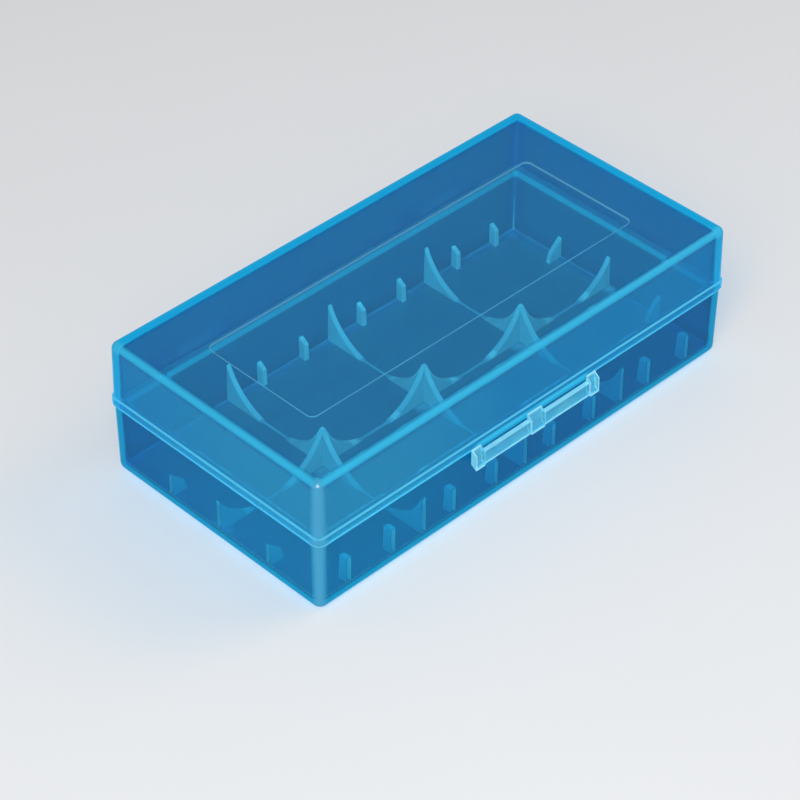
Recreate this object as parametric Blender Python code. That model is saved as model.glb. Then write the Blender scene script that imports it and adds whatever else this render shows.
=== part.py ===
"""Battery storage case: a shallow translucent snap box for loose cylindrical cells.

A base tray and a hinged lid of about the same height meet at a lapped seam. Thin cradle plates in
the tray cross as four-winged stars: their tops are arcs that hold two long cells side by side or
four short cells laid across. A snap latch hangs from the lid's rim over the front of the tray.

X runs along the case, Y from the latch to the hinge, Z up. The origin is the middle of the footprint.
"""

import math

import bmesh
import bpy
from mathutils import Matrix, Vector

# Cells that the case is made for
LONG_CELL_DIAMETER = 0.0186
LONG_CELL_SPACING = 0.0003
CROSS_CELL_DIAMETER = 0.0170
CROSS_CELL_SPACING = 0.0020
SIDE_SPACE = 0.00015
END_SPACE = 0.0004
CELL_HEADROOM = 0.0009
LONG_CELL_COUNT = 2
CROSS_CELL_COUNT = 4

# Shells
WALL = 0.0011
BASE_HEIGHT = 0.0112
SEAM_GAP = 0.00025
BASE_TAPER = 0.00012
LID_TAPER = 0.00016
BASE_RADIUS = 0.0014
LID_RADIUS = 0.0011
INNER_RADIUS = 0.0005
OVERRUN = 0.001
ROOT = 0.0004

# Lap joint between the shells
TONGUE_WALL = 0.0005
TONGUE_HEIGHT = 0.0014
TONGUE_CHAMFER = 0.00015
LAP_CLEARANCE = 0.00015
RIM_PROUD = 0.0002
RIM_HEIGHT = 0.0013
RIM_CHAMFER = 0.0001

# Sunk panel on the lid
PANEL_LENGTH = 0.060
PANEL_WIDTH = 0.020
PANEL_DEPTH = 0.00025
PANEL_RADIUS = 0.001

# Cradle plates and the fins on the walls
PLATE_THICKNESS = 0.0009
PLATE_DRAFT = 0.00013
PLATE_HEIGHT = 0.0062
PLATE_TIP = 0.0005
BED_DIP = 0.00025
RIDGE_THICKNESS = 0.0004
RIDGE_HEIGHT = 0.00015
FIN_THICKNESS = 0.00075
SIDE_FIN_SPREAD = 0.0079
FRONT_FIN_HEIGHT = 0.0044
FRONT_FIN_REACH = 0.0018
FRONT_FIN_LEAN = 0.0002
FRONT_FIN_DROP = 0.0003
FRONT_FIN_RUN = 0.0004
BACK_FIN_HEIGHT = 0.0036
BACK_FIN_REACH = 0.0015
BACK_FIN_LEAN = 0.0001
BACK_FIN_DROP = 0.00075
BACK_FIN_RUN = 0.0011
BACK_FIN_FIRST_BAY = 1
END_FIN_HEIGHT = 0.0036
END_FIN_REACH = 0.0028
END_FIN_LEAN = 0.0006
END_FIN_DROP = 0.0018
END_FIN_RUN = 0.0020

# Hinges on the back wall
HINGE_SPREAD = 0.046
HINGE_REACH = 0.0019
BARREL_LENGTH = 0.008
BARREL_RADIUS = 0.0014
EAR_THICKNESS = 0.002
EAR_GAP = 0.0003
PIN_RADIUS = 0.00065
PIN_CLEARANCE = 0.0001
PIN_SET_BACK = 0.0002
WEB_HEIGHT = 0.0034
WEB_SET_BACK = 0.0002

# Snap latch on the front wall
LATCH_LENGTH = 0.0235
LATCH_STAND_OFF = 0.00045
LATCH_TOP_LIFT = 0.00045
LATCH_DROP = 0.0026
LATCH_BLOCK_DEPTH = 0.0009
LATCH_BLOCK_SLOPE = 0.0008
LATCH_BAR_DEPTH = 0.00065
LATCH_BAR_DROP = 0.0005
LATCH_LIP_FLARE = 0.00005
LATCH_UNDERCUT = 0.0006
END_BLOCK_WIDTH = 0.0017
MIDDLE_BLOCK_WIDTH = 0.0026
CATCH_LENGTH = 0.017
CATCH_PROUD = 0.00025
CATCH_HEIGHT = 0.001
CATCH_DROP = 0.0013

# Facets
CORNER_SEGMENTS = 5
BED_SEGMENTS = 60
ROUND_SEGMENTS = 24

# Sizes that follow from the ones above
LONG_PITCH = LONG_CELL_DIAMETER + LONG_CELL_SPACING
CROSS_PITCH = CROSS_CELL_DIAMETER + CROSS_CELL_SPACING
INNER_LENGTH = (CROSS_CELL_COUNT - 1) * CROSS_PITCH + CROSS_CELL_DIAMETER + 2 * END_SPACE
INNER_WIDTH = (LONG_CELL_COUNT - 1) * LONG_PITCH + LONG_CELL_DIAMETER + 2 * SIDE_SPACE
CASE_LENGTH = INNER_LENGTH + 2 * WALL
CASE_WIDTH = INNER_WIDTH + 2 * WALL
CASE_HEIGHT = LONG_CELL_DIAMETER + CELL_HEADROOM + 2 * WALL
FLOOR = WALL
LID_LOW = BASE_HEIGHT + SEAM_GAP
TONGUE_TOP = BASE_HEIGHT + TONGUE_HEIGHT
FRONT = -CASE_WIDTH / 2
BACK = CASE_WIDTH / 2
HINGE_Y = BACK + HINGE_REACH
HINGE_Z = BASE_HEIGHT + SEAM_GAP / 2
LATCH_TOP = LID_LOW + LATCH_TOP_LIFT
LATCH_BOTTOM = LID_LOW - LATCH_DROP
LATCH_AXIS_Y = FRONT - (RIM_PROUD + LATCH_STAND_OFF) / 2

SHARP_ANGLE = math.radians(40)
ALONG_X = Matrix(((0, 0, 1), (1, 0, 0), (0, 1, 0))).to_4x4()
ALONG_Y = Matrix(((1, 0, 0), (0, 0, -1), (0, 1, 0))).to_4x4()

BODY_BLUE = (0.035, 0.30, 0.60, 1.0)
LATCH_CLEAR = (0.55, 0.82, 0.90, 1.0)


def clear_scene():
    for obj in list(bpy.data.objects):
        bpy.data.objects.remove(obj, do_unlink=True)


def new_collection(name, parent):
    collection = bpy.data.collections.new(name)
    parent.children.link(collection)
    return collection


def new_object(name, bm, collection):
    bmesh.ops.recalc_face_normals(bm, faces=bm.faces[:])
    if bm.calc_volume(signed=True) < 0:
        bmesh.ops.reverse_faces(bm, faces=bm.faces[:])
    mesh = bpy.data.meshes.new(name)
    bm.to_mesh(mesh)
    bm.free()
    mesh.shade_smooth()
    mesh.set_sharp_from_angle(angle=SHARP_ANGLE)
    obj = bpy.data.objects.new(name, mesh)
    collection.objects.link(obj)
    return obj


def as_tool(obj):
    obj.hide_render = True
    obj.display_type = "WIRE"
    return obj


def round_edges(bm, edges, radius, segments):
    bmesh.ops.bevel(bm, geom=edges, offset=radius, segments=segments, profile=0.5, affect="EDGES")


def tapered_block(name, collection, half_x, half_y, z_wide, z_narrow, taper, radius, end_radius):
    """A block with rounded uprights, whose walls lean in by taper at the height z_narrow.

    The edges of that end take end_radius: the same radius, a small chamfer or none.
    """
    bm = bmesh.new()
    bmesh.ops.create_cube(bm, size=1)
    for vert in bm.verts:
        narrow = vert.co.z > 0
        lean = taper if narrow else 0
        x = math.copysign(half_x - lean, vert.co.x)
        y = math.copysign(half_y - lean, vert.co.y)
        vert.co = (x, y, z_narrow if narrow else z_wide)
    if z_narrow < z_wide:
        bmesh.ops.reverse_faces(bm, faces=bm.faces[:])
    bm.normal_update()

    def end_edges():
        end = min(bm.faces, key=lambda face: abs(face.calc_center_median().z - z_narrow))
        return list(end.edges)

    uprights = [edge for edge in bm.edges if edge.verts[0].co.z != edge.verts[1].co.z]
    if radius and end_radius == radius:
        uprights += end_edges()
    if radius:
        round_edges(bm, uprights, radius, CORNER_SEGMENTS)
    if 0 < end_radius < radius:
        round_edges(bm, end_edges(), end_radius, 1)
    return new_object(name, bm, collection)


def extruded(name, collection, outline, turn, middle, length):
    """A flat outline given thickness, turned so that its thickness lies along X or Y."""
    curve = bpy.data.curves.new(name, "CURVE")
    curve.dimensions = "2D"
    curve.fill_mode = "BOTH"
    curve.extrude = length / 2
    spline = curve.splines.new("POLY")
    spline.points.add(len(outline) - 1)
    for point, (u, v) in zip(spline.points, outline):
        point.co = (u, v, 0, 1)
    spline.use_cyclic_u = True
    guide = bpy.data.objects.new(name, curve)
    collection.objects.link(guide)
    guide.matrix_world = Matrix.Translation(middle) @ turn
    bpy.context.view_layer.update()
    graph = bpy.context.evaluated_depsgraph_get()
    mesh = bpy.data.meshes.new_from_object(guide.evaluated_get(graph))
    bm = bmesh.new()
    bm.from_mesh(mesh)
    bmesh.ops.remove_doubles(bm, verts=bm.verts[:], dist=OVERRUN / 1000)
    bm.transform(guide.matrix_world)
    bpy.data.objects.remove(guide, do_unlink=True)
    bpy.data.curves.remove(curve)
    bpy.data.meshes.remove(mesh)
    return new_object(name, bm, collection)


def rod(name, collection, radius, length, turn, middle, segments):
    """A round rod, turned so that its length lies along X or Y."""
    bm = bmesh.new()
    bmesh.ops.create_cone(
        bm, cap_ends=True, segments=segments, radius1=radius, radius2=radius, depth=length
    )
    bm.transform(Matrix.Translation(middle) @ turn)
    return new_object(name, bm, collection)


def combine(body, operation, tools):
    """Adds or cuts all the solids of one collection."""
    for tool in tools.objects:
        as_tool(tool)
    modifier = body.modifiers.new(tools.name, "BOOLEAN")
    modifier.operation = operation
    modifier.operand_type = "COLLECTION"
    modifier.collection = tools
    modifier.solver = "EXACT"


def arc(centre, radius, start, end, segments):
    points = []
    for i in range(segments + 1):
        angle = start + (end - start) * i / segments
        points.append((centre[0] + radius * math.cos(angle), centre[1] + radius * math.sin(angle)))
    return points


def cell_centres(count, pitch):
    return [(i - (count - 1) / 2) * pitch for i in range(count)]


def bed_radius(pitch):
    """The radius of an arc that dips just below the floor and leaves the plate's narrow tips standing."""
    half_chord = (pitch - PLATE_TIP) / 2
    depth = PLATE_HEIGHT + BED_DIP
    return (half_chord * half_chord + depth * depth) / (2 * depth)


def plate(name, collection, half_x, half_y, place):
    low = FLOOR - ROOT
    block = tapered_block(name, collection, half_x, half_y, low, FLOOR + PLATE_HEIGHT, PLATE_DRAFT, 0, 0)
    block.data.transform(Matrix.Translation(place))
    return block


def ridge(name, collection, half_x, half_y, place):
    low = FLOOR - ROOT / 2
    block = tapered_block(name, collection, half_x, half_y, low, FLOOR + RIDGE_HEIGHT, 0, 0, 0)
    block.data.transform(Matrix.Translation(place))
    return block


def make_cradle(tools):
    """Thin plates that cross as stars, cut by the round beds of the cells that lie along and across.

    The beds dip just below the floor, so low ridges are left to join the stars.
    """
    plates = new_collection("cradle_plates", tools)
    beds = new_collection("cradle_beds", tools)
    ridges = new_collection("cradle_ridges", tools)
    half_x = INNER_LENGTH / 2 + ROOT
    half_y = INNER_WIDTH / 2 + ROOT
    ridge_x = INNER_LENGTH / 2 + ROOT / 2
    ridge_y = INNER_WIDTH / 2 + ROOT / 2
    half_thick = PLATE_THICKNESS / 2
    half_ridge = RIDGE_THICKNESS / 2
    cradle = None
    for i, y in enumerate(cell_centres(LONG_CELL_COUNT - 1, LONG_PITCH)):
        home = plates if cradle else tools
        made = plate(f"long_plate_{i}", home, half_x, half_thick, (0, y, 0))
        cradle = cradle or made
        ridge(f"long_ridge_{i}", ridges, ridge_x, half_ridge, (0, y, 0))
    for i, x in enumerate(cell_centres(CROSS_CELL_COUNT - 1, CROSS_PITCH)):
        plate(f"cross_plate_{i}", plates, half_thick, half_y, (x, 0, 0))
        ridge(f"cross_ridge_{i}", ridges, half_ridge, ridge_y, (x, 0, 0))

    long_radius = bed_radius(LONG_PITCH)
    cross_radius = bed_radius(CROSS_PITCH)
    bed_foot = FLOOR - BED_DIP
    for i, y in enumerate(cell_centres(LONG_CELL_COUNT, LONG_PITCH)):
        middle = (0, y, bed_foot + long_radius)
        rod(f"long_bed_{i}", beds, long_radius, 2 * half_x + OVERRUN, ALONG_X, middle, BED_SEGMENTS)
    for i, x in enumerate(cell_centres(CROSS_CELL_COUNT, CROSS_PITCH)):
        middle = (x, 0, bed_foot + cross_radius)
        rod(f"cross_bed_{i}", beds, cross_radius, 2 * half_y + OVERRUN, ALONG_Y, middle, BED_SEGMENTS)
    combine(cradle, "UNION", plates)
    combine(cradle, "DIFFERENCE", beds)
    combine(cradle, "UNION", ridges)
    return as_tool(cradle)


def fin_outline(wall_place, inwards, height, reach, lean, drop, run):
    """A fin that stands on the floor against a wall.

    Its front edge leans back and ends below the top, and a slope runs from there up to the flat top.
    """
    top = FLOOR + height
    outline = [
        (-ROOT, FLOOR - ROOT),
        (reach, FLOOR - ROOT),
        (reach - lean, top - drop),
        (reach - lean - run, top),
        (-ROOT, top),
    ]
    points = [(wall_place + inwards * u, v) for u, v in outline]
    return points if inwards > 0 else points[::-1]


def add_fins(tools):
    """Two fins for each short cell on the long walls, and one for each long cell on the end walls.

    The back wall has none in the bays before BACK_FIN_FIRST_BAY.
    """
    front = fin_outline(
        -INNER_WIDTH / 2, 1, FRONT_FIN_HEIGHT, FRONT_FIN_REACH, FRONT_FIN_LEAN, FRONT_FIN_DROP, FRONT_FIN_RUN
    )
    back = fin_outline(
        INNER_WIDTH / 2, -1, BACK_FIN_HEIGHT, BACK_FIN_REACH, BACK_FIN_LEAN, BACK_FIN_DROP, BACK_FIN_RUN
    )
    for i, centre in enumerate(cell_centres(CROSS_CELL_COUNT, CROSS_PITCH)):
        for hand in (-1, 1):
            place = (centre + hand * SIDE_FIN_SPREAD / 2, 0, 0)
            extruded(f"front_fin_{i}_{hand}", tools, front, ALONG_X, place, FIN_THICKNESS)
            if i >= BACK_FIN_FIRST_BAY:
                extruded(f"back_fin_{i}_{hand}", tools, back, ALONG_X, place, FIN_THICKNESS)
    for end in (-1, 1):
        wall = end * INNER_LENGTH / 2
        outline = fin_outline(
            wall, -end, END_FIN_HEIGHT, END_FIN_REACH, END_FIN_LEAN, END_FIN_DROP, END_FIN_RUN
        )
        for i, centre in enumerate(cell_centres(LONG_CELL_COUNT, LONG_PITCH)):
            extruded(f"end_fin_{end}_{i}", tools, outline, ALONG_Y, (0, centre, 0), FIN_THICKNESS)


def hinge_outline(upright):
    """A hinge lug seen along the axis: a round end with a web to the back wall. upright is 1 on the lid."""
    rise = SEAM_GAP / 2 + WEB_SET_BACK
    dip = math.asin(rise / BARREL_RADIUS)
    leave = math.pi / 4
    points = [(BACK - ROOT, HINGE_Z + upright * rise)]
    for u, v in arc((0, 0), BARREL_RADIUS, math.pi - dip, 2 * math.pi + leave, ROUND_SEGMENTS):
        points.append((HINGE_Y + u, HINGE_Z + upright * v))
    points.append((BACK - ROOT, HINGE_Z + upright * WEB_HEIGHT))
    return points


def hinge_places():
    return (-HINGE_SPREAD / 2, HINGE_SPREAD / 2)


def add_ears(tools):
    outline = hinge_outline(-1)
    for i, x in enumerate(hinge_places()):
        for hand in (-1, 1):
            middle = x + hand * (BARREL_LENGTH / 2 + EAR_GAP + EAR_THICKNESS / 2)
            extruded(f"ear_{i}_{hand}", tools, outline, ALONG_X, (middle, 0, 0), EAR_THICKNESS)


def add_ear_bores(tools):
    length = BARREL_LENGTH + 2 * (EAR_GAP + EAR_THICKNESS + OVERRUN)
    for i, x in enumerate(hinge_places()):
        middle = (x, HINGE_Y, HINGE_Z)
        rod(f"ear_bore_{i}", tools, PIN_RADIUS + PIN_CLEARANCE, length, ALONG_X, middle, ROUND_SEGMENTS)


def add_barrels(tools):
    """The lid's barrels, each with one pin through it that sticks out into both ears."""
    outline = hinge_outline(1)
    length = BARREL_LENGTH + 2 * (EAR_GAP + EAR_THICKNESS - PIN_SET_BACK)
    for i, x in enumerate(hinge_places()):
        extruded(f"barrel_{i}", tools, outline, ALONG_X, (x, 0, 0), BARREL_LENGTH)
        rod(f"pin_{i}", tools, PIN_RADIUS, length, ALONG_X, (x, HINGE_Y, HINGE_Z), ROUND_SEGMENTS)


def add_catch(tools):
    """The bead that the latch snaps under."""
    middle = LID_LOW - CATCH_DROP
    half = CATCH_HEIGHT / 2
    outline = [
        (FRONT + ROOT, middle + half),
        (FRONT - CATCH_PROUD, middle),
        (FRONT - CATCH_PROUD, middle - half / 2),
        (FRONT + ROOT, middle - half),
    ]
    extruded("catch", tools, outline, ALONG_X, (0, 0, 0), CATCH_LENGTH)


def make_base(parts, tools):
    half_x = CASE_LENGTH / 2
    half_y = CASE_WIDTH / 2
    lean = BASE_TAPER / BASE_HEIGHT
    base = tapered_block(
        "base_tray", parts, half_x, half_y, BASE_HEIGHT, 0, BASE_TAPER, BASE_RADIUS, BASE_RADIUS
    )

    tongue = new_collection("tongue", tools)
    inset = WALL - TONGUE_WALL
    tapered_block(
        "tongue", tongue, half_x - inset, half_y - inset, BASE_HEIGHT - WALL, TONGUE_TOP, 0,
        BASE_RADIUS - inset, TONGUE_CHAMFER
    )
    combine(base, "UNION", tongue)

    hollow = new_collection("base_hollow", tools)
    mouth = TONGUE_TOP + OVERRUN
    grow = lean * (mouth - BASE_HEIGHT)
    tapered_block(
        "base_hollow", hollow, INNER_LENGTH / 2 + grow, INNER_WIDTH / 2 + grow, mouth, FLOOR,
        lean * (mouth - FLOOR), INNER_RADIUS, INNER_RADIUS
    )
    combine(base, "DIFFERENCE", hollow)

    cradle = base.modifiers.new("cradle", "BOOLEAN")
    cradle.operation = "UNION"
    cradle.solver = "EXACT"
    cradle.object = make_cradle(tools)

    fins = new_collection("fins", tools)
    add_fins(fins)
    combine(base, "UNION", fins)

    outside = new_collection("outside_the_tray", tools)
    add_ears(outside)
    add_catch(outside)
    combine(base, "UNION", outside)

    bores = new_collection("ear_bores", tools)
    add_ear_bores(bores)
    combine(base, "DIFFERENCE", bores)
    return base


def make_lid(parts, tools):
    half_x = CASE_LENGTH / 2
    half_y = CASE_WIDTH / 2
    lean = LID_TAPER / (CASE_HEIGHT - LID_LOW)
    lid = tapered_block(
        "lid", parts, half_x, half_y, LID_LOW, CASE_HEIGHT, LID_TAPER, LID_RADIUS, LID_RADIUS
    )

    rim = new_collection("rim_band", tools)
    tapered_block(
        "rim_band", rim, half_x + RIM_PROUD, half_y + RIM_PROUD, LID_LOW, LID_LOW + RIM_HEIGHT, 0,
        LID_RADIUS + RIM_PROUD, RIM_CHAMFER
    )
    add_barrels(rim)
    combine(lid, "UNION", rim)

    hollow = new_collection("lid_hollow", tools)
    mouth = LID_LOW - OVERRUN
    ceiling = CASE_HEIGHT - WALL
    grow = lean * OVERRUN
    tapered_block(
        "lid_hollow", hollow, INNER_LENGTH / 2 + grow, INNER_WIDTH / 2 + grow, mouth, ceiling,
        lean * (ceiling - mouth), INNER_RADIUS, INNER_RADIUS
    )
    rebate_inset = WALL - TONGUE_WALL - LAP_CLEARANCE
    tapered_block(
        "rebate", hollow, half_x - rebate_inset, half_y - rebate_inset, mouth, TONGUE_TOP + SEAM_GAP, 0,
        BASE_RADIUS - rebate_inset, 0
    )
    tapered_block(
        "panel", hollow, PANEL_LENGTH / 2, PANEL_WIDTH / 2, CASE_HEIGHT - PANEL_DEPTH,
        CASE_HEIGHT + OVERRUN, 0, PANEL_RADIUS, 0
    )
    combine(lid, "DIFFERENCE", hollow)
    return lid


def latch_block_outline():
    back = FRONT - LATCH_STAND_OFF
    face = back - LATCH_BLOCK_DEPTH
    return [
        (back, LATCH_TOP),
        (face, LATCH_TOP - LATCH_BLOCK_SLOPE),
        (face - LATCH_LIP_FLARE, LATCH_BOTTOM),
        (back, LATCH_BOTTOM + LATCH_UNDERCUT),
    ]


def latch_bar_outline():
    back = FRONT - LATCH_STAND_OFF
    face = back - LATCH_BAR_DEPTH
    top = LID_LOW - LATCH_BAR_DROP
    return [
        (back, top),
        (face, top),
        (face - 2 * LATCH_LIP_FLARE, LATCH_BOTTOM + LATCH_LIP_FLARE),
        (back, LATCH_BOTTOM + LATCH_UNDERCUT + LATCH_LIP_FLARE),
    ]


def make_latch(parts, tools):
    """A bar with three blocks: the blocks carry it on the lid's rim and leave two windows above it."""
    latch = extruded(
        "front_latch", parts, latch_bar_outline(), ALONG_X, (0, 0, 0), LATCH_LENGTH - END_BLOCK_WIDTH
    )
    blocks = new_collection("latch_blocks", tools)
    end_middle = (LATCH_LENGTH - END_BLOCK_WIDTH) / 2
    widths = {-end_middle: END_BLOCK_WIDTH, 0: MIDDLE_BLOCK_WIDTH, end_middle: END_BLOCK_WIDTH}
    for i, (x, width) in enumerate(widths.items()):
        extruded(f"latch_block_{i}", blocks, latch_block_outline(), ALONG_X, (x, 0, 0), width)
    combine(latch, "UNION", blocks)
    return latch


def set_origin(obj, place):
    """Moves an object's origin, and leaves its mesh where it is."""
    place = Vector(place)
    obj.data.transform(Matrix.Translation(-place))
    obj.location = place


def plastic(name, colour, roughness, transmission):
    material = bpy.data.materials.new(name)
    material.use_nodes = True
    shader = material.node_tree.nodes["Principled BSDF"]
    shader.inputs["Base Color"].default_value = colour
    shader.inputs["Roughness"].default_value = roughness
    shader.inputs["Transmission Weight"].default_value = transmission
    shader.inputs["Metallic"].default_value = 0
    material.diffuse_color = colour
    return material


def main():
    clear_scene()
    scene = bpy.context.scene.collection
    parts = new_collection("battery_storage_case", scene)
    tools = new_collection("cutters", scene)

    base = make_base(parts, tools)
    lid = make_lid(parts, tools)
    latch = make_latch(parts, tools)

    set_origin(lid, (0, HINGE_Y, HINGE_Z))
    set_origin(latch, (0, LATCH_AXIS_Y, LATCH_TOP))

    base.data.materials.append(plastic("base_plastic", BODY_BLUE, 0.25, 0.6))
    lid.data.materials.append(plastic("lid_plastic", BODY_BLUE, 0.2, 0.7))
    latch.data.materials.append(plastic("latch_plastic", LATCH_CLEAR, 0.25, 0.7))


main()
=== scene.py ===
"""The battery storage case as it looks: translucent blue mouldings with a clearer snap latch."""

import math

import bmesh
import bpy
from mathutils import Euler, Matrix, Vector


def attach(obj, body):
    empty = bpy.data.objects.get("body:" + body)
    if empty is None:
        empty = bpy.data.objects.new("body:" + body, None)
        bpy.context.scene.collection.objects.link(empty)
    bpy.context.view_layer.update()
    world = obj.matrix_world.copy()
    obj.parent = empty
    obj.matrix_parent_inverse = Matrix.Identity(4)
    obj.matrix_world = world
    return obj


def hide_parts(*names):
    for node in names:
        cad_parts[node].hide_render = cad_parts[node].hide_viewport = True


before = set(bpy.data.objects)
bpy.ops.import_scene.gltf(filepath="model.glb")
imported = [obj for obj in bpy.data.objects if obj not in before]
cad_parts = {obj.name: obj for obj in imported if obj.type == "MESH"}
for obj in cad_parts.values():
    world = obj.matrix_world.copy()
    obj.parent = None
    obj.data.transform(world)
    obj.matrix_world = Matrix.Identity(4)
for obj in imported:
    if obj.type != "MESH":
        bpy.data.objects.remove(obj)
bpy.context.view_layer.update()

# Shells, in metres
HALF_LENGTH = 0.0385
HALF_WIDTH = 0.0200
CASE_HEIGHT = 0.0217
WALL = 0.0011
TRAY_HEIGHT = 0.0112
SEAM_GAP = 0.00025
LID_LOW = TRAY_HEIGHT + SEAM_GAP
TRAY_LEAN = 0.00012
LID_LEAN = 0.00016
TRAY_RADIUS = 0.0014
LID_RADIUS = 0.0011
INNER_RADIUS = 0.0005
ROUND_STEPS = 7
INNER_STEPS = 4
OVERRUN = 0.001
ROOT = 0.0004
EASE = 0.00008
EASE_STEPS = 2

# Lap joint
TONGUE_WALL = 0.0005
TONGUE_HEIGHT = 0.0014
TONGUE_EASE = 0.00015
LAP_CLEARANCE = 0.00015
RIM_PROUD = 0.0002
RIM_HEIGHT = 0.0013
RIM_EASE = 0.0001

# Panel on the lid
PANEL_LENGTH = 0.060
PANEL_WIDTH = 0.020
PANEL_DEPTH = 0.00025
PANEL_RADIUS = 0.001

# Cradle
LONG_PITCH = 0.0189
CROSS_PITCH = 0.0190
LONG_BEDS = 2
CROSS_BEDS = 4
PLATE_THICKNESS = 0.0009
PLATE_DRAFT = 0.00013
PLATE_HEIGHT = 0.0062
PLATE_TIP = 0.0005
BED_DIP = 0.00025
BED_FACETS = 120
RIDGE_THICKNESS = 0.0004
RIDGE_HEIGHT = 0.00015

# Fins
FIN_THICKNESS = 0.00075
FIN_EASE = 0.0001
SIDE_FIN_SPREAD = 0.0079
FRONT_FIN_HEIGHT = 0.0044
FRONT_FIN_REACH = 0.0018
FRONT_FIN_LEAN = 0.0002
FRONT_FIN_DROP = 0.0003
FRONT_FIN_RUN = 0.0004
BACK_FIN_HEIGHT = 0.0036
BACK_FIN_REACH = 0.0015
BACK_FIN_LEAN = 0.0001
BACK_FIN_DROP = 0.00075
BACK_FIN_RUN = 0.0011
BACK_FIN_FIRST_BAY = 1
END_FIN_HEIGHT = 0.0036
END_FIN_REACH = 0.0028
END_FIN_LEAN = 0.0006
END_FIN_DROP = 0.0018
END_FIN_RUN = 0.0020

# Hinges
HINGE_SPREAD = 0.046
HINGE_REACH = 0.0019
BARREL_LENGTH = 0.008
BARREL_RADIUS = 0.0014
EAR_THICKNESS = 0.002
EAR_GAP = 0.0003
PIN_RADIUS = 0.00065
PIN_CLEARANCE = 0.0001
PIN_SET_BACK = 0.0002
WEB_HEIGHT = 0.0034
WEB_SET_BACK = 0.0002
WEB_ANGLE = math.radians(45)
HINGE_FACETS = 24

# Latch
LATCH_LENGTH = 0.0235
LATCH_STAND_OFF = 0.00045
LATCH_TOP_LIFT = 0.00045
LATCH_DROP = 0.0026
BLOCK_DEPTH = 0.0009
BLOCK_SLOPE = 0.0008
BAR_DEPTH = 0.00065
BAR_DROP = 0.0005
LIP_FLARE = 0.00005
UNDERCUT = 0.0006
END_BLOCK = 0.0017
MIDDLE_BLOCK = 0.0026
LATCH_EASE = 0.0001
LATCH_EASE_STEPS = 3
CATCH_LENGTH = 0.017
CATCH_PROUD = 0.00025
CATCH_HEIGHT = 0.001
CATCH_DROP = 0.0013

HINGE_Y = HALF_WIDTH + HINGE_REACH
HINGE_Z = TRAY_HEIGHT + SEAM_GAP / 2

# Turns that lay a rod along X or Y
ALONG_X = (0, math.pi / 2, 0)
ALONG_Y = (math.pi / 2, 0, 0)

# How points are compared and merged, and how faces are shaded
SAME_PLACE = 1e-6
STRAY_GAP = 1e-7
CREASE = math.radians(32)
FLAT_WEIGHT = 80


def only(obj):
    """Selects one object and makes it the active one."""
    bpy.ops.object.select_all(action="DESELECT")
    obj.select_set(True)
    bpy.context.view_layer.objects.active = obj


def add_block(name, low, high):
    """A block between two corners. Its origin stays at zero."""
    bpy.ops.object.select_all(action="DESELECT")
    low, high = Vector(low), Vector(high)
    bpy.ops.mesh.primitive_cube_add(size=1, location=(low + high) / 2, scale=high - low)
    obj = bpy.context.active_object
    obj.name = name
    bpy.ops.object.transform_apply(location=True, rotation=True, scale=True)
    return obj


def add_rod(name, radius, length, middle, turn, facets):
    """A rod about its middle, turned from upright. Its origin stays at zero."""
    bpy.ops.object.select_all(action="DESELECT")
    bpy.ops.mesh.primitive_cylinder_add(
        vertices=facets, radius=radius, depth=length, location=middle, rotation=turn
    )
    obj = bpy.context.active_object
    obj.name = name
    bpy.ops.object.transform_apply(location=True, rotation=True, scale=True)
    return obj


def edit_edges(obj, wanted):
    """Goes into edit mode with the edges selected that wanted(low end, high end) accepts."""
    only(obj)
    bpy.ops.object.mode_set(mode="EDIT")
    bpy.ops.mesh.select_mode(type="EDGE")
    bpy.ops.mesh.select_all(action="DESELECT")
    bm = bmesh.from_edit_mesh(obj.data)
    for edge in bm.edges:
        ends = sorted((vert.co.copy() for vert in edge.verts), key=lambda co: co.z)
        edge.select_set(wanted(*ends))
    bmesh.update_edit_mesh(obj.data)


def bevel_edges(obj, wanted, width, steps):
    edit_edges(obj, wanted)
    bpy.ops.mesh.bevel(offset=width, segments=steps, affect="EDGES")
    bpy.ops.object.mode_set(mode="OBJECT")


def near(a, b):
    return abs(a - b) < SAME_PLACE


def at_height(z):
    """A test for edges that lie level at height z."""
    return lambda low, high: near(low.z, z) and near(high.z, z)


def narrow_end(obj, z, lean, half_x, half_y):
    """Draws the end at height z in by lean on every side, as the draft of a moulding."""
    edit_edges(obj, at_height(z))
    share_x = 1 - lean / half_x
    share_y = 1 - lean / half_y
    middle = obj.matrix_world @ Vector((0, 0, z))
    bpy.ops.transform.resize(value=(share_x, share_y, 1), center_override=middle)
    bpy.ops.object.mode_set(mode="OBJECT")


def rounded_block(name, half_x, half_y, wide_z, narrow_z, lean, radius, steps, end_round=True):
    """A drafted block with rounded uprights and, with end_round, a round narrow end."""
    low_z, high_z = min(wide_z, narrow_z), max(wide_z, narrow_z)
    obj = add_block(name, (-half_x, -half_y, low_z), (half_x, half_y, high_z))
    if lean:
        narrow_end(obj, narrow_z, lean, half_x, half_y)

    at_end = at_height(narrow_z)

    def to_round(low, high):
        upright = not near(low.z, high.z)
        return upright or (end_round and at_end(low, high))

    bevel_edges(obj, to_round, radius, steps)
    return obj


def apply_boolean(body, operation, tools):
    """Joins or cuts body with all the tools at once, and removes them."""
    group = bpy.data.collections.new("tools")
    bpy.context.scene.collection.children.link(group)
    for tool in tools:
        group.objects.link(tool)
    modifier = body.modifiers.new(operation.lower(), "BOOLEAN")
    modifier.operation = operation
    modifier.operand_type = "COLLECTION"
    modifier.collection = group
    modifier.solver = "EXACT"
    only(body)
    bpy.ops.object.modifier_apply(modifier=modifier.name)
    for tool in tools:
        bpy.data.objects.remove(tool, do_unlink=True)
    bpy.data.collections.remove(group)


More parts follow.
